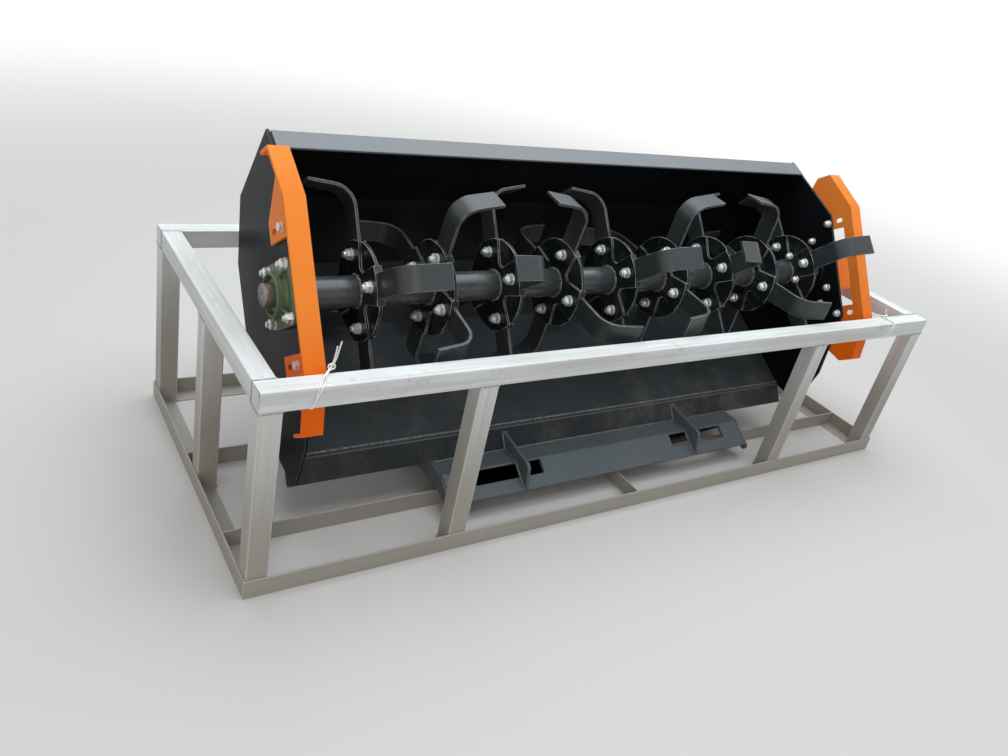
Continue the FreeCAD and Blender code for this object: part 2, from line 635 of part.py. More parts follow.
def spacer_outline(phase):
    """The middle disc, with an open notch for each tine's shank."""
    radius = size("flange_diameter") / 2
    half_width = size("tine_width") / 2
    notch = math.asin(half_width / radius)
    points = []
    for lobe in range(4):
        middle = phase + lobe * math.pi / 2
        rim = middle + math.pi / 4
        points.append(on_rotor(size("tine_root"), half_width, middle))
        points.append(on_rotor(size("tine_root"), -half_width, middle))
        points.append(on_rotor(radius, 0, middle + notch))
        points.append(on_rotor(radius, 0, middle + math.pi / 2 - notch) + on_rotor(radius, 0, rim))
    return points


def tine(label, x, angle, side):
    """A tine of flat bar, drawn root down: its shank runs out and bends over towards side."""
    bar = size("tine_wall")
    turn = math.radians(size("tine_bend_angle"))
    outer = size("tine_bend")
    centre_x = outer - bar / 2
    tip_x = size("tine_spread") - bar * math.cos(turn)
    blade_rise = (tip_x - centre_x + outer * math.cos(turn)) / math.tan(turn)
    bend_z = size("tine_reach") - outer * math.sin(turn) - blade_rise

    def bent(radius, share):
        """A point of the bend's outer or inner face, at a share of its turn."""
        return (side * (centre_x - radius * math.cos(share * turn)),
                bend_z + radius * math.sin(share * turn))

    outline = [
        (-side * bar / 2, size("tine_root")),
        bent(outer, 0.0),
        bent(outer, 1.0) + bent(outer, 0.5),
        (side * tip_x, size("tine_reach")),
        (side * size("tine_spread"), size("tine_reach") - bar * math.sin(turn)),
        bent(outer - bar, 1.0),
        bent(outer - bar, 0.0) + bent(outer - bar, 0.5),
        (side * bar / 2, size("tine_root")),
    ]
    body = doc.addObject("PartDesign::Body", label)
    blade = pad(body, draw(body, label + "_side", [outline], plane="XZ_Plane"), "Sizes.tine_width")
    blade.SideType = "Symmetric"
    tip(body, x, 90 - angle)
    return body


flange_half = "Sizes.cover_wall - Sizes.tine_wall / 2"
hole = [(0.0, 0.0, size("tube_diameter") / 2)]
flanges = []
tines = {"left": [], "right": []}
for index in range(int(size("flange_count"))):
    number = index + 1
    turned = size("tine_phase") + size("tine_step") * index
    middle_x = "%s + %d * Sizes.flange_pitch" % (first_x, index)
    flange = doc.addObject("PartDesign::Body", "tine_flange_%d" % number)
    LAYERS = (
        # name, outline, where it starts, wall
        ("inner_cover", lobed_outline(math.radians(turned)), "0", "Sizes.cover_wall"),
        ("spacer", spacer_outline(math.radians(turned)), "Sizes.cover_wall", "Sizes.tine_wall"),
        ("outer_cover", lobed_outline(math.radians(turned)), "Sizes.cover_wall + Sizes.tine_wall",
         "Sizes.cover_wall"),
    )
    for name, outline, start, wall in LAYERS:
        pad(flange, draw(flange, "%s_%d" % (name, number), [outline, hole], start), wall)
    tip(flange, "%s - %s" % (middle_x, flange_half))
    flanges.append(flange)
    for quarter in range(4):
        hand = "right" if quarter % 2 == 0 else "left"
        tines[hand].append(tine("tine_%d_%d" % (number, quarter + 1), middle_x, turned + 90 * quarter,
                                1 if hand == "right" else -1))

for label, pieces in (("tine_flanges", flanges), ("tines_bent_left", tines["left"]),
                      ("tines_bent_right", tines["right"])):
    row = doc.addObject("Part::Compound", label)
    row.Links = pieces
    keep(row, label)

doc.recompute()
problems = [o.Name for o in doc.Objects if "Invalid" in o.State or "Error" in o.State]
problems += [o.Label for o in nodes if o.Shape.isNull() or not o.Shape.isValid()]
problems += [o.Name for o in doc.Objects
             if o.TypeId == "PartDesign::Pocket" and o.Shape.Volume >= o.BaseFeature.Shape.Volume]
if problems:
    sys.exit("failed: " + ", ".join(problems))
os.makedirs("parts", exist_ok=True)
for piece in nodes:
    piece.Shape.exportStep(os.path.join("parts", piece.Label + ".step"))
print(len(nodes), "nodes,", sum(len(piece.Shape.Solids) for piece in nodes), "solids")
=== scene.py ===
import json
import math

import bmesh
import bpy
from mathutils import Matrix, Vector


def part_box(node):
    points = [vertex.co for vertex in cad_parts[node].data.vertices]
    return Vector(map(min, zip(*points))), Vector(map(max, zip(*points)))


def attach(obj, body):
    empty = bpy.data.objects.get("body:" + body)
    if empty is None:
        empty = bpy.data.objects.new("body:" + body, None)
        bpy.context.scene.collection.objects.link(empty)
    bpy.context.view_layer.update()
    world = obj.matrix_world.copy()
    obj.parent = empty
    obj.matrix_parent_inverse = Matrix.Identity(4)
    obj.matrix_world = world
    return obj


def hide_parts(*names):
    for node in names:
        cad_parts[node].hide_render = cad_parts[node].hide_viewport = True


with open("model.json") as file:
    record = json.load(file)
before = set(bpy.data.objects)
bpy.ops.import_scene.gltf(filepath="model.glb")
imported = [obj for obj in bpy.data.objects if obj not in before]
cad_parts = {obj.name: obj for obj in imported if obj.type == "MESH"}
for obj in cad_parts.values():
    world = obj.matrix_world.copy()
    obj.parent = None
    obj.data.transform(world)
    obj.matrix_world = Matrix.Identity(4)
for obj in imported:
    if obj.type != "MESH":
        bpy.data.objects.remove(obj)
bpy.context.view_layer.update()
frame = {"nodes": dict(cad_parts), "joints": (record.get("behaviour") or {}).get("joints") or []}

# Camera. It stands at eye height off the crate's left front corner and looks down along the rotor,
# held a little tilted. Its angles are in degrees.
camera_place = Vector((-1.62077, -1.76462, 1.40073))
camera_yaw = 38.13  # from +Y towards +X
camera_dip = 28.005  # below the horizon
camera_roll = 13.457  # about its own axis
lens_length, sensor_width = 29.94, 36.0

camera = bpy.data.objects.new("camera", bpy.data.cameras.new("camera"))
camera.data.lens = lens_length
camera.data.sensor_width = sensor_width
camera.matrix_world = (Matrix.Translation(camera_place)
                       @ Matrix.Rotation(math.radians(-camera_yaw), 4, "Z")
                       @ Matrix.Rotation(math.radians(90 - camera_dip), 4, "X")
                       @ Matrix.Rotation(math.radians(camera_roll), 4, "Z"))
bpy.context.scene.collection.objects.link(camera)
bpy.context.scene.camera = camera
bpy.context.scene.view_settings.view_transform = "Standard"

# Studio. A pale floor that runs out to white, one wide soft lamp overhead as an overcast sky gives,
# a weaker one from the front, and a plain world that is white behind the tiller and in its gloss.
floor_size = 80.0
floor_colour = (0.66, 0.645, 0.635, 1)
floor_roughness = 0.9
floor_near, floor_far = 1.7, 5.5
sky_level = 0.34
LAMPS = (
    # name, power in watts, width, colour, place, point that it faces
    ("sky", 210, 5.0, (0.92, 0.985, 1.02), (0.3, 0.4, 4.2), (0, 0, 0)),
    ("front", 38, 2.5, (1.0, 0.93, 0.81), (-3.4, -4.2, 2.4), (0, 0, 0.4)),
)


class Flow:
    """A socket in a material's nodes, with the sums that shading needs written as Python's own."""

    def __init__(self, tree, socket=None):
        self.tree = tree
        self.socket = socket

    def add(self, kind, settings, inputs, output=0):
        """Any other node: its type, settings, its sockets' values or links, and what it gives."""
        made = self.tree.nodes.new(kind)
        for name, value in settings.items():
            setattr(made, name, value)
        for name, value in inputs.items():
            if isinstance(value, Flow):
                self.tree.links.new(value.socket, made.inputs[name])
            else:
                made.inputs[name].default_value = value
        return Flow(self.tree, made.outputs[output])

    def reckon(self, operation, first, second=0.0):
        return self.add("ShaderNodeMath", {"operation": operation}, {0: first, 1: second})

    def __add__(self, other):
        return self.reckon("ADD", self, other)

    def __sub__(self, other):
        return self.reckon("SUBTRACT", self, other)

    def __rsub__(self, other):
        return self.reckon("SUBTRACT", other, self)

    def __mul__(self, other):
        return self.reckon("MULTIPLY", self, other)

    __radd__ = __add__
    __rmul__ = __mul__

    def most(self, other):
        return self.reckon("MAXIMUM", self, other)

    def least(self, other):
        return self.reckon("MINIMUM", self, other)

    def mix(self, first, second):
        """A colour between two, by this factor."""
        return self.add("ShaderNodeMix", {"data_type": "RGBA"}, {0: self, 6: first, 7: second}, 2)

    def between(self, low, high):
        """0 below low, 1 above high, and smooth between."""
        return self.add("ShaderNodeMapRange", {"interpolation_type": "SMOOTHSTEP"},
                        {"Value": self, "From Min": low, "From Max": high})


def shows_backdrop(tree):
    """1 for the rays that show the backdrop: the camera's, and those in gloss and glass."""
    at = Flow(tree)
    rays = [at.add("ShaderNodeLightPath", {}, {}, output)
            for output in ("Is Camera Ray", "Is Glossy Ray", "Is Transmission Ray")]
    return rays[0].most(rays[1]).most(rays[2])


floor_mesh = bmesh.new()
bmesh.ops.create_grid(floor_mesh, x_segments=1, y_segments=1, size=floor_size / 2)
floor_data = bpy.data.meshes.new("floor")
floor_mesh.to_mesh(floor_data)
floor_mesh.free()
floor = bpy.data.objects.new("floor", floor_data)
bpy.context.scene.collection.objects.link(floor)
floor_paint = bpy.data.materials.new("studio_floor")
floor_paint.use_nodes = True
floor_tree = floor_paint.node_tree
floor_shader = floor_tree.nodes["Principled BSDF"]
floor_shader.inputs["Base Color"].default_value = floor_colour
floor_shader.inputs["Roughness"].default_value = floor_roughness
floor_at = Flow(floor_tree).add("ShaderNodeTexCoord", {}, {}, "Object")
floor_reach = floor_at.add("ShaderNodeVectorMath", {"operation": "LENGTH"}, {0: floor_at}, "Value")
white = floor_at.add("ShaderNodeEmission", {}, {"Color": (1, 1, 1, 1), "Strength": 1.0})
runs_out = floor_reach.between(floor_near, floor_far) * shows_backdrop(floor_tree)
floor_look = floor_at.add("ShaderNodeMixShader", {}, {
    0: runs_out, 1: Flow(floor_tree, floor_shader.outputs["BSDF"]), 2: white})
floor_tree.links.new(floor_look.socket, floor_tree.nodes["Material Output"].inputs["Surface"])
floor_data.materials.append(floor_paint)

for name, power, width, colour, place, target in LAMPS:
    lamp = bpy.data.objects.new(name, bpy.data.lights.new(name, "AREA"))
    lamp.data.energy = power
    lamp.data.size = width
    lamp.data.color = colour
    lamp.location = place
    lamp.rotation_euler = (Vector(target) - Vector(place)).to_track_quat("-Z", "Y").to_euler()
    bpy.context.scene.collection.objects.link(lamp)

world = bpy.data.worlds.new("studio")
world.use_nodes = True
bpy.context.scene.world = world
backdrop = world.node_tree.nodes["Background"]
backdrop.inputs["Color"].default_value = (1, 1, 1, 1)
sky_strength = shows_backdrop(world.node_tree) * (1 - sky_level) + sky_level
world.node_tree.links.new(sky_strength.socket, backdrop.inputs["Strength"])

# Crate tubes. The top ring and the posts are cold formed square tube, hot-dip galvanised, with
# round corners. They are butt welded, and the long top tubes have a small plate let into each end.
tube_corner = 0.0035
cap_wall = 0.003
cap_depth = 0.0005  # from the tube's end to the plate
cap_inset = 0.0024  # from the tube's side to the plate's edge
cap_ease = 0.0004
merge_reach = 1e-5
along_share = 0.99
# degrees that two faces turn by
flat_limit, smooth_limit = 0.5, 38
fold_least, edge_least, any_turn = 12, 60, 181
zinc_light = (0.82, 0.87, 0.89, 1)
zinc_dark = (0.62, 0.62, 0.60, 1)
zinc_smudge = (0.24, 0.225, 0.20, 1)
zinc_soil_and_ground_reflection = (0.38, 0.36, 0.32, 1)
zinc_edge_highlight = (0.90, 0.91, 0.91, 1)
soil_reflection_foot, soil_reflection_top = 0.14, 0.56


def new_material(name, roughness, metallic=0.0, gloss=0.5):
    """A material with one main shader, and the flow that starts at a piece's own coordinates."""
    material = bpy.data.materials.new(name)
    material.use_nodes = True
    shader = material.node_tree.nodes["Principled BSDF"]
    shader.inputs["Roughness"].default_value = roughness
    shader.inputs["Metallic"].default_value = metallic
    shader.inputs["Specular IOR Level"].default_value = gloss
    at = Flow(material.node_tree).add("ShaderNodeTexCoord", {}, {}, "Object")
    return material, shader, at


def noise(at, scale, detail=3.0, rough=0.55, stretch=(1, 1, 1)):
    """Cloudy noise over a piece, drawn out along the axes where stretch is under 1."""
    if stretch != (1, 1, 1):
        at = at.add("ShaderNodeMapping", {}, {"Vector": at, "Scale": stretch})
    return at.add("ShaderNodeTexNoise", {}, {"Vector": at, "Scale": scale, "Detail": detail,
                                             "Roughness": rough}, "Fac")


def upward(at):
    """How high a point lies, or how far a direction points up."""
    return at.add("ShaderNodeSeparateXYZ", {}, {"Vector": at}, "Z")


def edge_wear_and_highlight(at):
    """1 on the rounded edges of a piece, where its finish is thin and its colour is painted lighter
    as a highlight, and 0 on its flats.
    """
    return at.add("ShaderNodeAttribute", {"attribute_name": "edge_wear_and_highlight"}, {}, "Fac")


def feed(shader, at, **inputs):
    """Links what changes over a surface to its shader. Bump is a height and how far it stands."""
    tree = at.tree
    if "bump" in inputs:
        height, depth = inputs.pop("bump")
        normal = at.add("ShaderNodeBump", {},
                        {"Height": height, "Distance": depth, "Strength": 1.0})
        tree.links.new(normal.socket, shader.inputs["Normal"])
    for name, value in inputs.items():
        tree.links.new(value.socket, shader.inputs[name.replace("_", " ").title()])


def galvanised(along):
    """Zinc with faint streaks along a bar, left by its making, dark smudges, soil with a painted
    reflection of the ground low down, and edges painted lighter as a highlight.
    """
    material, shader, at = new_material("galvanised_steel_" + "xyz"[along], 0.5,
                                        metallic=0.1, gloss=0.25)
    streak = noise(at, 70.0, 4.0, 0.6, tuple(0.03 if axis == along else 1.0 for axis in range(3)))
    broad = noise(at, 6.0, 4.0, 0.6, tuple(0.3 if axis == along else 1.0 for axis in range(3)))
    smudge = noise(at, 15.0, 9.0, 0.75).between(0.58, 0.72)
    grain = noise(at, 420.0, 2.0)
    # Low down the zinc is painted browner: soil, and a painted reflection of the brown ground.
    soil_and_ground_reflection = (1 - upward(at).between(soil_reflection_foot, soil_reflection_top)) * (broad * 0.5 + 0.75)
    tone = (streak * 0.6 + broad * 0.55 + grain * 0.1).between(0.42, 0.85)
    base = (smudge * 0.5).mix(tone.mix(zinc_dark, zinc_light), zinc_smudge)
    base = soil_and_ground_reflection.least(1.0).mix(base, zinc_soil_and_ground_reflection)
    # Rounded edges are painted lighter: a painted highlight, with a little wear.
    feed(shader, at, base_color=(edge_wear_and_highlight(at) * 0.2).mix(base, zinc_edge_highlight),
         roughness=streak * 0.12 + smudge * 0.15 + 0.44,
         bump=(grain * 0.5 + streak * 0.5, 0.00025))
    return material


def merged(*labels):
    """CAD nodes as one mesh: loose triangles merged, flat faces whole, and no walls inside."""
    whole = bmesh.new()
    for label in labels:
        part = bmesh.new()
        part.from_mesh(frame["nodes"][label].data)
        part.faces.layers.float.new("edge_wear_and_highlight")
        bmesh.ops.remove_doubles(part, verts=part.verts, dist=merge_reach)
        bmesh.ops.dissolve_limit(part, angle_limit=math.radians(flat_limit), verts=part.verts,
                                 edges=part.edges)
        add_mesh(whole, part)
    if len(labels) > 1:
        bmesh.ops.remove_doubles(whole, verts=whole.verts, dist=merge_reach * 2)
        inner = [face for face in whole.faces
                 if all(len(edge.link_faces) > 2 for edge in face.edges)]
        bmesh.ops.delete(whole, geom=inner, context="FACES")
    return whole


def add_mesh(whole, part):
    """Adds one mesh in the making to another."""
    carrier = bpy.data.meshes.new("carrier")
    part.to_mesh(carrier)
    part.free()
    whole.from_mesh(carrier)
    bpy.data.meshes.remove(carrier)


def turning(mesh, least, most=any_turn, along=None):
    """The edges where two faces turn by least to most degrees, all or those along one axis."""
    found = []
    for edge in mesh.edges:
        if len(edge.link_faces) != 2:
            continue
        turn = math.degrees(edge.calc_face_angle())
        run = (edge.verts[1].co - edge.verts[0].co).normalized()
        if least <= turn < most and (along is None or abs(run[along]) > along_share):
            found.append(edge)
    return found


def ease(mesh, edges, width, segments=2, mark=1.0):
    """Rounds edges over by a width, and marks them by a weight for painting them lighter, as wear
    and as a painted highlight.
    """
    made = bmesh.ops.bevel(mesh, geom=edges, offset=width, offset_type="OFFSET", affect="EDGES",
                           segments=segments, profile=0.5, material=-1, clamp_overlap=True)
    layer = mesh.faces.layers.float.get("edge_wear_and_highlight")
    if layer:
        for face in made["faces"]:
            face[layer] = mark


def finish(mesh, name, material, body, slot, *nodes):
    """A mesh as a piece on its body, smooth over its round edges, standing for the nodes named."""
    data = bpy.data.meshes.new(name)
    mesh.to_mesh(data)
    mesh.free()
    data.polygons.foreach_set("use_smooth", [True] * len(data.polygons))
    data.set_sharp_from_angle(angle=math.radians(smooth_limit))
    data.materials.append(material)
    made = bpy.data.objects.new(name, data)
    bpy.context.scene.collection.objects.link(made)
    weighted = made.modifiers.new("flat_faces", "WEIGHTED_NORMAL")
    weighted.keep_sharp = True
    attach(made, body)
    if nodes:
        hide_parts(*nodes)


zinc = [galvanised(along) for along in range(3)]
TUBES = (
    # node, axis that it runs along
    ("crate_top_front", 0), ("crate_top_back", 0), ("crate_top_left", 1), ("crate_top_right", 1),
    ("crate_front_posts", 2), ("crate_back_posts", 2), ("crate_end_posts", 2),
)
for node, along in TUBES:
    tube = merged(node)
    ease(tube, turning(tube, edge_least, along=along), tube_corner, 3)
    finish(tube, node + "_tube", zinc[along], "frame", "galvanised_steel", node)

for node in ("crate_top_front", "crate_top_back"):
    low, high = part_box(node)
    caps = bmesh.new()
    inside = high.z - low.z - 2 * cap_inset
    for x in (low.x + cap_wall / 2 + cap_depth, high.x - cap_wall / 2 - cap_depth):
        middle = Vector((x, (low.y + high.y) / 2, (low.z + high.z) / 2))
        bmesh.ops.create_cube(caps, size=1.0, matrix=Matrix.Translation(middle)
                              @ Matrix.Diagonal((cap_wall, inside, inside, 1)))
    ease(caps, turning(caps, edge_least), cap_ease, 1)
    finish(caps, node + "_end_caps", zinc[2], "frame", "galvanised_steel")

# Crate base. Rolled steel angle, 50 by 50 by 4, galvanised with the rest, upright leg outside the
# posts and flat leg under them. Two rails and a bar across carry the tiller.
edge_ease = 0.0012
BASE = (
    # node, axis that it runs along
    ("crate_base_front", 0), ("crate_base_back", 0), ("crate_base_left", 1),
    ("crate_base_right", 1), ("crate_front_rail", 0), ("crate_back_rail", 0),
    ("crate_cross_member", 1),
)


def eased(name, material, body, slot, *nodes, width=edge_ease, segments=2):
    """A piece made of CAD nodes as they are, with its sharp edges rounded over."""
    mesh = merged(*nodes)
    ease(mesh, turning(mesh, edge_least), width, segments)
    finish(mesh, name, material, body, slot, *nodes)


for node, along in BASE:
    eased(node + "_angle", zinc[along], "frame", "galvanised_steel", node)

# Crate welds. A bead laid by hand on every seam where a tube's end meets its neighbour, dull and
# darker than the zinc.
bead_step = 0.004
bead_sides = 7
ripple_depth = 0.14
seam = 0.0018
foot_bead = 0.001  # over the foot of a post
mid_posts = 0.606
weld_dull, weld_clean = (0.20, 0.195, 0.19, 1), (0.46, 0.46, 0.45, 1)


def weld_metal(name, dark, light, metallic):
    """A weld bead, bare or painted over, light and dark over its ripples; on painted beads the light
    patches are painted glints.
    """
    material, shader, at = new_material(name, 0.45, metallic=metallic)
    ripple = noise(at, 190.0, 4.0, 0.6)
    feed(shader, at, base_color=ripple.between(0.36, 0.62).mix(dark, light),
         bump=(ripple, 0.0009))
    return material


def bead(mesh, start, end, radius):
    """A seam of overlapping ripples from start to end: a thin bar, its rings drawn in and out."""
    start, end = Vector(start), Vector(end)
    run = end - start
    place = (Matrix.Translation((start + end) / 2)
             @ run.to_track_quat("Z", "Y").to_matrix().to_4x4())
    made = bmesh.ops.create_cone(mesh, cap_ends=True, segments=bead_sides, radius1=radius,
                                 radius2=radius, depth=run.length, matrix=place)
    sides = {edge for vert in made["verts"] for edge in vert.link_edges
             if abs((edge.verts[0].co - edge.verts[1].co).dot(run.normalized()))
             > run.length / 2}
    rings = max(1, int(run.length / bead_step))
    cut = bmesh.ops.subdivide_edges(mesh, edges=list(sides), cuts=rings)
    for vert in {part for part in cut["geom_inner"] if isinstance(part, bmesh.types.BMVert)}:
        share = (vert.co - start).dot(run) / run.length_squared
        middle = start + run * share
        wave = math.sin(share * run.length / bead_step * math.pi)
        vert.co = middle + (vert.co - middle) * (1 - ripple_depth + ripple_depth * wave)


def box_loop(mesh, low, high, axis, at, radius):
    """Four beads round a rectangle that lies across an axis."""
    first, second = [other for other in range(3) if other != axis]
    corners = []
    for a, b in ((low[first], low[second]), (high[first], low[second]),
                 (high[first], high[second]), (low[first], high[second])):
        corner = Vector((0, 0, 0))
        corner[axis], corner[first], corner[second] = at, a, b
        corners.append(corner)
    for start, end in zip(corners, corners[1:] + corners[:1]):
        bead(mesh, start, end, radius)


weld = weld_metal("zinc_weld", weld_dull, weld_clean, 0.5)
crate_welds = bmesh.new()
for node in ("crate_top_left", "crate_top_right"):
    low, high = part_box(node)
    for at in (low.y, high.y):
        box_loop(crate_welds, low, high, 1, at, seam)
top_low, top_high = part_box("crate_top_front")
tube_side = top_high.z - top_low.z
left_x, right_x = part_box("crate_top_left")[0].x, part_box("crate_top_right")[0].x
for node in ("crate_front_posts", "crate_back_posts", "crate_end_posts"):
    low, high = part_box(node)
    columns = [left_x, right_x]
    if node != "crate_end_posts":
        columns += [-mid_posts - tube_side / 2, mid_posts - tube_side / 2]
    for x in columns:
        corner_low = Vector((x, low.y, low.z))
        corner_high = Vector((x + tube_side, low.y + tube_side, high.z))
        for level in (high.z, low.z + foot_bead):
            box_loop(crate_welds, corner_low, corner_high, 2, level, seam)
finish(crate_welds, "crate_weld_seams", weld, "frame", "galvanised_steel")

# Hood. Five flats of 6 mm sheet, folded into one shell between the side plates and enamelled gloss
# black. Dust lies on its low outer side. Beads run along its front edge and the mounting plate.
fold_round, worn_round = 0.011, 0.0022
tilt = math.radians(33.8)
rotor_at = Vector(frame["joints"][0]["pos_m"])
black_enamel = (0.0065, 0.0075, 0.0095, 1)
bare_edge_and_highlight = (0.16, 0.165, 0.17, 1)
dust = (0.16, 0.15, 0.135, 1)
# The sheen colour is a painted reflection of the sky, laid on faces that look up.
sheen = (0.048, 0.055, 0.060, 1)
# The light colour of painted welds is painted glints on the beads' ripples.
weld_dark, weld_glint = (0.03, 0.032, 0.035, 1), (0.24, 0.25, 0.26, 1)
dust_foot, dust_top = 0.12, 0.55
hood_bead = 0.0034
front_fold = Vector((-0.1772, 0.1598))
fold_slack = 0.001
HOOD_PANELS = ("hood_rear_panel", "hood_upper_rear_panel", "hood_top_panel", "hood_front_panel",
               "hood_front_flange")
HOOD_SEAMS = (
    # y and z of the line that a bead runs along, whether it runs the whole width of the hood
    (-0.1680, 0.1653, True), (-0.2140, 0.1085, False),
)


def laid(x, height, reach):
    """A point at x, in the tiller's own stance: height over the rotor and reach to the rear."""
    return Vector((x, rotor_at.y + height * math.cos(tilt) + reach * math.sin(tilt),
                   rotor_at.z + reach * math.cos(tilt) - height * math.sin(tilt)))


def enamel(name, colour, roughness, dusting, edge, gloss=0.09, film_colour=dust, sky_sheen=0.0):
    """Sprayed enamel with its edges painted lighter, as thin paint and a highlight, dust low down,
    and a painted sky sheen on what faces up.
    """
    material, shader, at = new_material(name, roughness, gloss=gloss)
    wander = noise(at, 5.0, 3.0)
    film = noise(at, 4.0, 9.0, 0.68).between(0.46, 0.80)
    specks = noise(at, 150.0, 1.0).between(0.70, 0.76)
    low = 1 - upward(at).between(dust_foot, dust_top)
    dusty = ((film * 0.8 + specks * 0.4) * (low * 0.85 + 0.1) * dusting).least(1.0)
    normal = at.add("ShaderNodeTexCoord", {}, {}, "Normal")
    facing_up = upward(normal).between(0.2, 0.85)
    lighter = tuple(min(1.0, part * 1.2) for part in colour[:3]) + (1,)
    # Faces that look up are painted lighter with the sheen colour, a painted sky reflection.
    sky_sheen_mask = (facing_up * (wander * 0.4 + 0.8) * sky_sheen).least(1.0)
    base = sky_sheen_mask.mix(wander.mix(colour, lighter), sheen)
    # Rounded edges are painted lighter: thin paint, and a painted highlight.
    base = (edge_wear_and_highlight(at) * edge).mix(base, bare_edge_and_highlight)
    feed(shader, at, base_color=dusty.mix(base, film_colour),
         roughness=dusty * 0.4 + facing_up * sky_sheen * 0.2 + wander * 0.08 + (roughness - 0.04),
         bump=(noise(at, 240.0, 2.0) * 0.4 + dusty * 0.6, 0.0002))
    return material


# Its faces that look up get a painted sky sheen.
gloss_black = enamel("gloss_black_enamel", black_enamel, 0.24, dusting=0.85, edge=0.5, sky_sheen=0.85)
black_weld = weld_metal("painted_weld", weld_dark, weld_glint, 0.1)
hood = merged(*HOOD_PANELS)
# The front fold's rounding is marked so that it is painted lighter, as a painted highlight line.
at_front = [edge for edge in turning(hood, fold_least, edge_least, along=0)
            if all((vert.co.yz - front_fold).length < fold_slack for vert in edge.verts)]
ease(hood, at_front, worn_round)
ease(hood, turning(hood, fold_least, edge_least, along=0), fold_round, 5, 0.0)
ease(hood, turning(hood, edge_least), edge_ease)
finish(hood, "hood_shell", gloss_black, "frame", "gloss_black_paint", *HOOD_PANELS)

hood_low, hood_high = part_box("hood_front_panel")
mount_low, mount_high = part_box("mount_plate")
hood_welds = bmesh.new()
for y, z, whole in HOOD_SEAMS:
    start_x, end_x = (hood_low.x, hood_high.x) if whole else (mount_low.x, mount_high.x)
    bead(hood_welds, (start_x, y, z), (end_x, y, z), hood_bead)
finish(hood_welds, "hood_weld_seams", black_weld, "frame", "gloss_black_paint")

# Rear lip. A flat welded along the hood's rear edge, between the side plates. It looks up, so its
# satin black paint is painted grey as a reflection of the sky, with a bloom of dust.
lip_sky_grey, lip_dust = (0.145, 0.16, 0.175, 1), (0.3, 0.3, 0.29, 1)
lip_grey = enamel("rear_lip_paint", lip_sky_grey, 0.42, dusting=0.5, edge=0.3, gloss=0.4,
                  film_colour=lip_dust)
eased("hood_rear_lip_bar", lip_grey, "frame", "satin_black_paint", "hood_rear_lip")

# Side plates. Flame-cut 8 mm plate, welded to the hood's ends and enamelled with it, and brown low
# down on the outside with soil and a painted reflection of the ground.
plate_soil_and_ground_reflection = (0.060, 0.050, 0.038, 1)
# Brown low down is soil with a painted ground reflection; faces that look up get a painted sky
# sheen.
plate_black = enamel("side_plate_enamel", black_enamel, 0.3, dusting=0.3, edge=0.5, gloss=0.05,
                     film_colour=plate_soil_and_ground_reflection, sky_sheen=0.9)
for side in ("left", "right"):
    eased("side_plate_%s_cut" % side, plate_black, "frame", "gloss_black_paint",
          "side_plate_" + side)

# Skid shoes. A 48 by 8 mm flat bar, bent up at both ends, with an 8 mm web welded along it and
# slots for setting the depth. Bright orange enamel, with a small round plug in the left sole.
shoe_orange = (0.98, 0.275, 0.046, 1)
shoe_shade_and_marks = (0.97, 0.165, 0.008, 1)
shoe_shade_foot, shoe_shade_top = 0.42, 0.66
slot_least, slot_most = 40, 50
slot_ease = 0.0028
plug_place, plug_faces = (-0.996, -0.3785, 0.5445), (0, -1, 0.12)
plug_radius, plug_height, plug_ease = 0.0045, 0.0022, 0.0012


def orange_enamel():
    """Orange enamel with a soft gloss, painted deeper towards the ground as shade, with deeper marks
    at random.
    """
    material, shader, at = new_material("orange_enamel", 0.42, gloss=0.06)
    wander = noise(at, 6.0, 4.0)
    marks = noise(at, 14.0, 9.0, 0.7).between(0.62, 0.80)
    # Lower down the orange is painted deeper, as painted shade, and lighter towards the top.
    painted_light_by_height = upward(at).between(shoe_shade_foot, shoe_shade_top) * (wander * 0.2 + 0.85)
    base = painted_light_by_height.mix(shoe_shade_and_marks, shoe_orange)
    feed(shader, at, base_color=(marks * 0.25).mix(base, shoe_shade_and_marks),
         roughness=wander * 0.1 + marks * 0.15 + 0.34, bump=(noise(at, 240.0, 2.0), 0.00012))
    return material


def facing(point, direction):
    """A place at a point, with its Z along a direction."""
    return (Matrix.Translation(point)
            @ Vector(direction).to_track_quat("Z", "Y").to_matrix().to_4x4())


def turned_bar(mesh, place, radius, length, chamfer, sides=24):
    """A short round or hexagonal bar that stands on a place, its far edge chamfered."""
    made = bmesh.ops.create_cone(mesh, cap_ends=True, segments=sides, radius1=radius,
                                 radius2=radius, depth=length,
                                 matrix=place @ Matrix.Translation((0, 0, length / 2)))
    back = place.inverted()
    far = {vert for vert in made["verts"] if (back @ vert.co).z > length / 2}
    rim = {edge for vert in far for edge in vert.link_edges if set(edge.verts) <= far}
    ease(mesh, list(rim), chamfer, 1)


orange = orange_enamel()
for side in ("left", "right"):
    shoe = merged("shoe_" + side)
    ease(shoe, turning(shoe, slot_least, slot_most, along=0), slot_ease, 3)
    ease(shoe, turning(shoe, edge_least), edge_ease)
    finish(shoe, "skid_shoe_" + side, orange, "frame", "orange_paint", "shoe_" + side)

plug = bmesh.new()
turned_bar(plug, facing(plug_place, plug_faces), plug_radius, plug_height, plug_ease, 16)
finish(plug, "left_sole_plug", orange, "frame", "orange_paint")

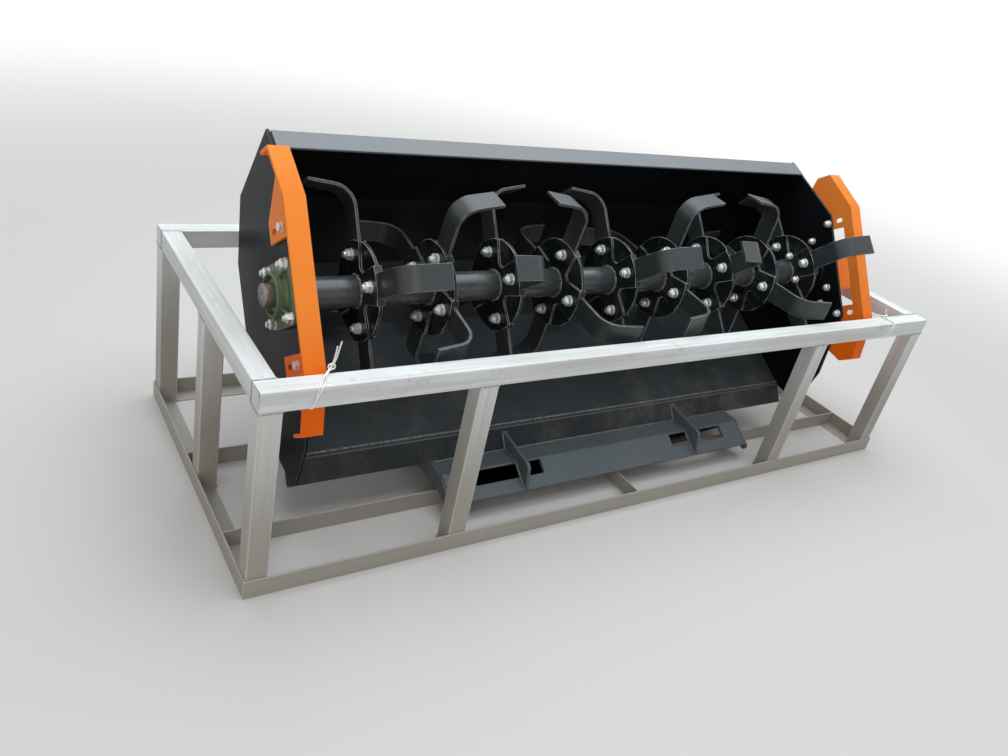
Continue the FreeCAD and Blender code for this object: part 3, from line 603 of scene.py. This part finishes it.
# Mounting plate. One bent 10 mm plate with windows for the locking wedges, a hook strip, closed
# ends, gussets in front and ribs behind, welded and painted satin black, with a blue grey base as a
# painted sky reflection.
bend_round = 0.012
satin_sky_grey = (0.086, 0.106, 0.120, 1)
mount_bead, end_bead = 0.0036, 0.0026
bead_stand, end_stand = 0.0012, 0.001  # from a plate's face to its bead
MOUNT_PANELS = ("mount_ledge", "mount_plate", "mount_hook")
GUSSET_LINE = (
    # y and z along the foot of a gusset: down the hood's flange, over the plate, down the ledge
    (-0.1845, 0.1515), (-0.2135, 0.1085), (-0.2714, 0.1085), (-0.3405, 0.0600),
)
RIB_LINE = (
    # y and z along the edges of a rib: down the hood's panel and flange, over the plate
    (-0.0190, 0.2430), (-0.1712, 0.1527), (-0.2040, 0.1085), (0.0920, 0.1085),
)
satin_black = enamel("satin_black_paint", satin_sky_grey, 0.42, dusting=0.4, edge=0.3, gloss=0.35)
mount = merged(*MOUNT_PANELS)
ease(mount, turning(mount, fold_least, edge_least, along=0), bend_round, 5, 0.0)
ease(mount, turning(mount, edge_least), edge_ease)
finish(mount, "mounting_plate", satin_black, "frame", "satin_black_paint", *MOUNT_PANELS)
for stiffener in ("end", "gusset", "rib"):
    for side in ("left", "right"):
        node = "mount_%s_%s" % (stiffener, side)
        eased(node + "_plate", satin_black, "frame", "satin_black_paint", node)

mount_welds = bmesh.new()
for line, stiffener in ((GUSSET_LINE, "gusset"), (RIB_LINE, "rib")):
    for side in ("left", "right"):
        low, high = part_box("mount_%s_%s" % (stiffener, side))
        for x in (low.x - bead_stand, high.x + bead_stand):
            for start, end in zip(line, line[1:]):
                bead(mount_welds, (x, *start), (x, *end), mount_bead)
ledge_top, ledge_foot = GUSSET_LINE[2:]
for x in (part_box("mount_end_left")[1].x + end_stand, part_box("mount_end_right")[0].x - end_stand):
    bead(mount_welds, (x, *ledge_top), (x, *ledge_foot), end_bead)
finish(mount_welds, "mount_weld_seams", black_weld, "frame", "satin_black_paint")

# Rotor. A 76 mm tube runs through nine flanges, each a notched disc between two lobed covers,
# welded on all round and painted black. The rims are painted bright grey in patches, a painted
# highlight.
tube_radius = 0.038
flange_half = 0.010
flange_ease = 0.0011
flange_pitch = 0.193
first_flange = -0.808
flange_count = 9
flange_places = [first_flange + number * flange_pitch for number in range(flange_count)]
rim_highlight_share, rim_highlight_grey = 0.9, (0.40, 0.41, 0.42, 1)
tube_dark, tube_light = (0.034, 0.040, 0.043, 1), (0.062, 0.069, 0.073, 1)
flange_dark, flange_light = (0.0075, 0.0105, 0.012, 1), (0.013, 0.017, 0.019, 1)
ring_bead = 0.0038
ring_stand, ring_lift = 0.0006, 0.0004  # from the flange's face, from the tube's side
ring_sides, ring_steps = 8, 60
RING_WAVES = (
    # share of the radius, waves round the tube, turn from one flange to the next
    (0.02, 31, 0), (0.014, 13, 1),
)


def rotor_enamel(name, dark, light, gloss):
    """Black on the rotor, with a painted highlight in patches along every rim, and dried soil in a
    thin film.
    """
    material, shader, at = new_material(name, 0.28, gloss=gloss)
    wander = noise(at, 7.0, 3.0)
    film = noise(at, 11.0, 9.0, 0.72).between(0.46, 0.78)
    edge = edge_wear_and_highlight(at) * noise(at, 30.0, 4.0).between(0.3, 0.6) * rim_highlight_share
    base = edge.mix(wander.mix(dark, light), rim_highlight_grey)
    feed(shader, at, base_color=(film * 0.3).mix(base, dust),
         roughness=film * 0.25 + wander * 0.08 + 0.2,
         bump=(noise(at, 200.0, 2.0) * 0.5 + film * 0.5, 0.00025))
    return material


def spun(profile, steps=72):
    """A round piece on the rotor's axis: a line of x and radius, spun once round it."""
    mesh = bmesh.new()
    verts = [mesh.verts.new((x, rotor_at.y, rotor_at.z + radius)) for x, radius in profile]
    edges = [mesh.edges.new(pair) for pair in zip(verts, verts[1:])]
    bmesh.ops.spin(mesh, geom=verts + edges, cent=rotor_at, axis=(1, 0, 0), angle=math.tau,
                   steps=steps, use_merge=True)
    bmesh.ops.remove_doubles(mesh, verts=mesh.verts, dist=merge_reach / 10)
    bmesh.ops.recalc_face_normals(mesh, faces=mesh.faces)
    return mesh


def once_round(steps):
    """The turns of a circle's points, with the first again at the end."""
    return [step * math.tau / steps for step in range(steps + 1)]


tube_black = rotor_enamel("tube_enamel", tube_dark, tube_light, 0.5)
rotor_black = rotor_enamel("flange_enamel", flange_dark, flange_light, 0.2)
eased("rotor_tube_painted", tube_black, "rotor", "rotor_paint", "rotor_tube")
eased("tine_flanges_painted", rotor_black, "rotor", "rotor_paint", "tine_flanges",
      width=flange_ease)

rings = bmesh.new()
for number, flange_x in enumerate(flange_places):
    for side in (-1, 1):
        x = flange_x + side * (flange_half + ring_stand)
        ring = spun([(x + ring_bead * math.cos(turn),
                      tube_radius + ring_lift + ring_bead * math.sin(turn))
                     for turn in once_round(ring_sides)], ring_steps)
        for vert in ring.verts:
            around = math.atan2(vert.co.z - rotor_at.z, vert.co.y - rotor_at.y)
            swell = 1 + sum(share * math.sin(around * waves + number * turn)
                            for share, waves, turn in RING_WAVES)
            vert.co.y = rotor_at.y + (vert.co.y - rotor_at.y) * swell
            vert.co.z = rotor_at.z + (vert.co.z - rotor_at.z) * swell
        add_mesh(rings, ring)
finish(rings, "flange_weld_rings", black_weld, "rotor", "rotor_paint")

# Tines. Spring steel flat bar, 60 by 8, bent over at the end, painted satin black, with its edges
# painted lighter as a highlight. Their roots sit in the notches of the flanges.
tine_phase = -2.3  # degrees from straight down to a tine of the first flange
tine_step, tine_turn = 46.45, 90  # from one flange to the next, and round a flange
tine_ease = 0.0013
tine_dark, tine_light = (0.024, 0.029, 0.032, 1), (0.042, 0.048, 0.052, 1)
tine_edge_highlight_share, tine_edge_highlight = 0.55, (0.36, 0.37, 0.38, 1)


def tine_paint():
    """Satin black on a forged bar, its edges painted lighter in patches as a highlight, brushed by
    handling.
    """
    material, shader, at = new_material("tine_paint", 0.4, gloss=0.45)
    wander = noise(at, 8.0, 4.0)
    film = noise(at, 16.0, 9.0, 0.7).between(0.5, 0.85)
    edge = edge_wear_and_highlight(at) * noise(at, 40.0, 4.0).between(0.3, 0.6) * tine_edge_highlight_share
    base = edge.mix(wander.mix(tine_dark, tine_light), tine_edge_highlight)
    feed(shader, at, base_color=(film * 0.15).mix(base, dust),
         roughness=film * 0.2 + wander * 0.1 + 0.3,
         bump=(noise(at, 200.0, 2.0) * 0.5 + film * 0.5, 0.00025))
    return material


tine_black = tine_paint()
for side in ("left", "right"):
    eased("tines_bent_%s_bars" % side, tine_black, "rotor", "tine_paint", "tines_bent_" + side,
          width=tine_ease)

# Tine bolts. Bright zinc plated bolts, one through each tine and its flange, with a washer and head
# to the right and a washer and locking nut to the left.
bolt_reach = 0.087
tine_bolt = 0.024
bolt_zinc, bolt_cloud = (0.86, 0.88, 0.89, 1), (0.6, 0.62, 0.62, 1)
to_left, to_right = (-1, 0, 0), (1, 0, 0)
flange_roll, bolt_roll = 23, 37  # degrees from one flange and from one bolt to the next
washer = (0.0, 0.62, 0.11, 0.025, 24)
HEAD = (
    # start, radius, height and chamfer as shares of the width across flats, and number of sides
    washer,
    (0.1, 0.577, 0.42, 0.06, 6),
)
NUT = (
    washer,
    (0.1, 0.577, 0.5, 0.05, 6),
    # the round locking collar, and the end of the bolt's thread
    (0.55, 0.44, 0.17, 0.08, 24),
    (0.6, 0.31, 0.35, 0.05, 16),
)


def bright_zinc():
    """Plated fasteners: bright, a little blue, duller in patches."""
    material, shader, at = new_material("bright_zinc", 0.3, metallic=0.65)
    cloud = noise(at, 60.0, 4.0)
    feed(shader, at, base_color=cloud.mix(bolt_cloud, bolt_zinc), roughness=cloud * 0.25 + 0.2,
         bump=(noise(at, 500.0, 2.0), 0.0002))
    return material


def fastener(mesh, place, across, parts):
    """A head or a nut on a place, by its width across flats."""
    for start, radius, height, chamfer, sides in parts:
        turned_bar(mesh, place @ Matrix.Translation((0, 0, across * start)), across * radius,
                   across * height, across * chamfer, sides)


def on_rotor(x, radius, angle):
    """A point on the rotor, turned by degrees from straight down towards the rear."""
    turn = math.radians(angle)
    return laid(x, -radius * math.cos(turn), radius * math.sin(turn))


zinc_plate = bright_zinc()
tine_bolts = bmesh.new()
for number, flange_x in enumerate(flange_places):
    for quarter in range(4):
        angle = tine_phase + tine_step * number + tine_turn * quarter
        turned = math.radians(flange_roll * number + bolt_roll * quarter)
        roll = Matrix.Rotation(turned, 4, "Z")
        nut_side = on_rotor(flange_x - flange_half, bolt_reach, angle)
        head_side = on_rotor(flange_x + flange_half, bolt_reach, angle)
        fastener(tine_bolts, facing(nut_side, to_left) @ roll, tine_bolt, NUT)
        fastener(tine_bolts, facing(head_side, to_right) @ roll, tine_bolt, HEAD)
finish(tine_bolts, "tine_bolts", zinc_plate, "rotor", "tine_paint")

# Bearing. A cast flanged housing painted olive green, with four lugs, a deep round boss and a seal
# set back inside its rim. Four bolts hold it, and rust has started round the lower ones.
bearing_green, bearing_pale = (0.066, 0.116, 0.052, 1), (0.095, 0.150, 0.074, 1)
bearing_edge_highlight = (0.24, 0.28, 0.19, 1)
rust = (0.17, 0.07, 0.028, 1)
rust_foot, rust_top = rotor_at.z - 0.075, rotor_at.z - 0.03
bearing_bolt = 0.022
bolt_pitch = 0.059
nut_turn = 0.3
flange_thickness = 0.016
face_slack = 0.0001
boss_radius = 0.052
lug_ease = 0.0028
lug_start, lug_end = 0.86, 0.68  # shares of the bolt pitch and of the boss
lug_rise, lug_bead = 0.012, 0.0045
LUGS = ((1, 1), (1, -1), (-1, -1), (-1, 1))
BOSS = (
    # x out from the flange's face, radius
    (-0.002, 0.060), (0.0, 0.0575), (0.0025, 0.0545), (0.006, 0.0530), (0.019, 0.0520),
    (0.0226, 0.0512), (0.0240, 0.0495), (0.0240, 0.0462), (0.0228, 0.0448), (0.0120, 0.0444),
    (0.0105, 0.0425), (0.0100, 0.0385), (0.0112, 0.0370), (0.0150, 0.0362), (0.0168, 0.0350),
    (0.0168, 0.0278), (-0.002, 0.0278),
)


def cast_green():
    """Olive paint on a casting, with soil in its pores and rust at its lower lugs."""
    material, shader, at = new_material("olive_casting", 0.42)
    grain = noise(at, 130.0, 4.0)
    blotch = noise(at, 22.0, 6.0, 0.65)
    low = 1 - upward(at).between(rust_foot, rust_top)
    rusty = (blotch.between(0.46, 0.62) * (low * 0.9 + 0.06)).least(1.0)
    # Rounded edges are painted a paler green as a highlight.
    base = (edge_wear_and_highlight(at) * 0.25).mix(blotch.mix(bearing_green, bearing_pale), bearing_edge_highlight)
    feed(shader, at, base_color=rusty.mix(base, rust),
         roughness=rusty * 0.3 + blotch * 0.1 + 0.36,
         bump=(grain * 0.7 + rusty * 0.3, 0.0005))
    return material


green = cast_green()
housing = merged("bearing_left")
flange_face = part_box("bearing_left")[1].x - flange_thickness
boss_faces = [face for face in housing.faces
              if face.calc_center_median().x < flange_face - face_slack]
bmesh.ops.delete(housing, geom=boss_faces, context="FACES")
loose = [vert for vert in housing.verts if not vert.link_faces]
bmesh.ops.delete(housing, geom=loose, context="VERTS")
ease(housing, turning(housing, edge_least), lug_ease, 3)
add_mesh(housing, spun([(flange_face - out, radius) for out, radius in BOSS]))
lug_reach, boss_reach = bolt_pitch * lug_start, boss_radius * lug_end
for height, reach in LUGS:
    bead(housing, laid(flange_face, height * lug_reach, reach * lug_reach),
         laid(flange_face - lug_rise, height * boss_reach, reach * boss_reach), lug_bead)
finish(housing, "bearing_housing", green, "frame", "bearing_paint", "bearing_left")

left_plate_out, left_plate_in = [corner.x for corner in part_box("side_plate_left")]
bearing_bolts = bmesh.new()
for height, reach in LUGS:
    outer = laid(flange_face, height * bolt_pitch, reach * bolt_pitch)
    inner = laid(left_plate_in, height * bolt_pitch, reach * bolt_pitch)
    fastener(bearing_bolts, facing(outer, to_left) @ Matrix.Rotation(reach * nut_turn, 4, "Z"),
             bearing_bolt, NUT)
    fastener(bearing_bolts, facing(inner, to_right), bearing_bolt, HEAD)
finish(bearing_bolts, "bearing_bolts", zinc_plate, "frame", "bearing_paint")

# Stub shaft. Bare turned steel, brown with a film of rust, chamfered at its end, with a centre hole
# and a thin groove for a ring.
stub_radius = 0.0275
stub_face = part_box("stub_shaft")[0].x
steel_bare, steel_brown = (0.31, 0.29, 0.27, 1), (0.13, 0.095, 0.075, 1)
brown_foot, brown_top = rotor_at.z - stub_radius, rotor_at.z + 0.004
STUB = (
    # x in from the end face, radius
    (0.004, 0.0), (0.004, 0.0035), (0.0012, 0.0062), (0.0, 0.0070), (0.0, 0.0250),
    (0.0025, stub_radius), (0.0070, stub_radius), (0.0072, 0.0262), (0.0092, 0.0262),
    (0.0094, stub_radius), (0.0780, stub_radius), (0.0780, 0.0300), (0.1380, 0.0300),
    (0.1380, 0.0),
)


def rusty_steel():
    """Turned steel: fine rings from the lathe under a brown film, darker low down."""
    material, shader, at = new_material("turned_steel", 0.42, metallic=0.75)
    rings_cut = noise(at, 900.0, 2.0, 0.5, (1, 0.02, 0.02))
    film = noise(at, 35.0, 6.0, 0.65).between(0.35, 0.7)
    low = 1 - upward(at).between(brown_foot, brown_top)
    brown = (film * 0.55 + low * 0.5).least(1.0)
    feed(shader, at, base_color=brown.mix(steel_bare, steel_brown),
         roughness=brown * 0.25 + 0.32, bump=(rings_cut * 0.6 + film * 0.4, 0.0003))
    return material


finish(spun([(stub_face + back, radius) for back, radius in STUB]), "stub_shaft_turned",
       rusty_steel(), "rotor", "bare_shaft", "stub_shaft")

# Drive. The motor's flange ring on the right plate, its body in the orange guard of 5 mm plate, and
# the coupling between it and the last flange, whose four nuts show beside the tube.
coupling_bolt_reach = 0.05712
drive_bolt = 0.019
guard_ease = 0.0022
right_plate_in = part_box("side_plate_right")[0].x
PILOT = (
    # x in from the plate's face, radius
    (0.0, 0.0650), (0.0085, 0.0650), (0.0100, 0.0635), (0.0100, 0.0560), (0.0080, 0.0545),
    (0.0080, 0.0500), (0.0095, 0.0485), (0.0, 0.0485),
)
motor = frame["nodes"]["drive_motor"]
motor.data.materials.clear()
motor.data.materials.append(gloss_black)
finish(spun([(right_plate_in - inward, radius) for inward, radius in PILOT]),
       "motor_pilot_ring", gloss_black, "frame", "motor_paint")
eased("motor_guard_box", orange, "frame", "orange_paint", "motor_guard", width=guard_ease,
      segments=3)
eased("drive_coupling_turned", rotor_black, "rotor", "rotor_paint", "drive_coupling")

drive_bolts = bmesh.new()
for quarter in range(4):
    angle = tine_phase + tine_step * (flange_count - 1) + tine_turn * (quarter + 0.5)
    place = on_rotor(flange_places[-1] - flange_half, coupling_bolt_reach, angle)
    fastener(drive_bolts, facing(place, to_left), drive_bolt, NUT)
finish(drive_bolts, "drive_flange_nuts", zinc_plate, "rotor", "rotor_paint")

# Plate bolts. Zinc plated bolts through the side plates, nuts inside and heads outside on the webs
# of the skid shoes, two to each shoe. The right plate has three more for the motor.
web_thickness = 0.008
right_shoe_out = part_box("shoe_right")[0].x + web_thickness
left_shoe_out = left_plate_out - web_thickness
RIGHT_BOLTS = (
    # height over the rotor and reach to the rear, whether the bolt also holds the shoe
    (-0.1000, 0.1395, True), (-0.0321, 0.0944, False), (-0.0677, -0.0682, False),
    (-0.0357, -0.1171, False), (-0.0950, -0.1599, True),
)
LEFT_BOLTS = (
    # height and reach
    (-0.040, 0.144), (-0.040, -0.162),
)
plate_bolts = bmesh.new()
for height, reach, through_shoe in RIGHT_BOLTS:
    fastener(plate_bolts, facing(laid(right_plate_in, height, reach), to_left), drive_bolt, NUT)
    if through_shoe:
        fastener(plate_bolts, facing(laid(right_shoe_out, height, reach), to_right), drive_bolt,
                 HEAD)
for height, reach in LEFT_BOLTS:
    fastener(plate_bolts, facing(laid(left_shoe_out, height, reach), to_left), drive_bolt, HEAD)
    fastener(plate_bolts, facing(laid(left_plate_in, height, reach), to_right), drive_bolt, NUT)
finish(plate_bolts, "plate_bolts", zinc_plate, "frame", "gloss_black_paint")

# Tie wires. Soft galvanised wire, twisted tight by hand, holds each shoe to the crate's front tube
# through the shoe's lower slot. Each is two strands with its ends turned up at a small knot.
wire_radius = 0.0018
wire_dull, wire_bright = (0.72, 0.72, 0.71, 1), (0.95, 0.95, 0.94, 1)
TIES = (
    # left: over the tube's top, down its front and back under it to the slot; the same beside it
    ((-0.9760, -0.3790, 0.5400), (-0.9860, -0.3835, 0.5330), (-1.0080, -0.4290, 0.5325),
     (-1.0150, -0.4345, 0.5290), (-1.0330, -0.4345, 0.4830), (-1.0345, -0.4290, 0.4780),
     (-1.0350, -0.3860, 0.4775), (-1.0350, -0.3720, 0.4850), (-1.0340, -0.3640, 0.5050),
     (-1.0200, -0.3560, 0.5150), (-0.9950, -0.3250, 0.5200), (-0.9780, -0.3180, 0.5200)),
    ((-0.9760, -0.3790, 0.5440), (-0.9890, -0.3850, 0.5340), (-1.0180, -0.4290, 0.5325),
     (-1.0220, -0.4345, 0.5270), (-1.0310, -0.4345, 0.4830), (-1.0310, -0.4290, 0.4780),
     (-1.0300, -0.3900, 0.4770)),
    # left: the two cut ends
    ((-0.9770, -0.3800, 0.5420), (-0.9700, -0.3810, 0.5560), (-0.9660, -0.3815, 0.5800),
     (-0.9620, -0.3820, 0.6010)),
    ((-0.9770, -0.3800, 0.5440), (-0.9720, -0.3800, 0.5580), (-0.9700, -0.3815, 0.5900)),
    # right: from the shoe's edge over the top to the front, and back under the tube
    ((0.9130, -0.3700, 0.5330), (0.9420, -0.3800, 0.5350), (0.9520, -0.3950, 0.5345),
     (0.9540, -0.4290, 0.5330), (0.9530, -0.4345, 0.5290), (0.9380, -0.4345, 0.4820),
     (0.9300, -0.4290, 0.4775), (0.9180, -0.3860, 0.4775), (0.9140, -0.3760, 0.4880)),
    ((0.9130, -0.3690, 0.5360), (0.9430, -0.3810, 0.5370), (0.9480, -0.3960, 0.5350),
     (0.9500, -0.4290, 0.5335), (0.9490, -0.4345, 0.5290), (0.9210, -0.4345, 0.4840),
     (0.9160, -0.4290, 0.4780)),
    # right: a loose end at the knot, and two strands from the web's slot to behind the tube
    ((0.9500, -0.3930, 0.5350), (0.9540, -0.3880, 0.5420), (0.9580, -0.3790, 0.5560)),
    ((0.8590, -0.3120, 0.5260), (0.8680, -0.3200, 0.5240), (0.8850, -0.3500, 0.5120),
     (0.9000, -0.3640, 0.5060), (0.9120, -0.3690, 0.5040)),
    ((0.8590, -0.3160, 0.5200), (0.8680, -0.3240, 0.5180), (0.8850, -0.3520, 0.5060),
     (0.9000, -0.3640, 0.5000), (0.9120, -0.3690, 0.4980)),
)
KNOTS = ((-0.9765, -0.3795, 0.5425), (0.9500, -0.3935, 0.5355))
knot_radius, knot_depth = 0.0075, 0.0022
knot_points = 9
knot_turn = 0.9  # of its second loop


def wire(mesh, points, radius):
    """A bent wire along points, as a round smooth bar."""
    line = bpy.data.curves.new("wire_line", "CURVE")
    line.dimensions = "3D"
    line.bevel_depth = radius
    line.bevel_resolution = 2
    line.use_fill_caps = True
    run = line.splines.new("NURBS")
    run.points.add(len(points) - 1)
    for point, at in zip(run.points, points):
        point.co = (*at, 1)
    run.order_u = 3
    run.use_endpoint_u = True
    run.resolution_u = 6
    holder = bpy.data.objects.new("wire_holder", line)
    made = bpy.data.meshes.new_from_object(holder)
    mesh.from_mesh(made)
    bpy.data.objects.remove(holder)
    bpy.data.curves.remove(line)
    bpy.data.meshes.remove(made)


def tie_wire_zinc():
    """Dull annealed wire with its zinc rubbed."""
    material, shader, at = new_material("tie_wire", 0.35, metallic=0.4)
    feed(shader, at, base_color=noise(at, 200.0, 3.0).mix(wire_dull, wire_bright))
    return material


ties = bmesh.new()
for points in TIES:
    wire(ties, points, wire_radius)
for knot in KNOTS:
    for tip in (0.0, knot_turn):
        loop = [Vector(knot) + Vector((knot_radius * math.cos(turn + tip),
                                       knot_depth * math.sin(3 * turn + tip),
                                       knot_radius * math.sin(turn + tip)))
                for turn in once_round(knot_points)]
        wire(ties, loop, wire_radius)
finish(ties, "tie_wires", tie_wire_zinc(), "frame", "galvanised_steel")
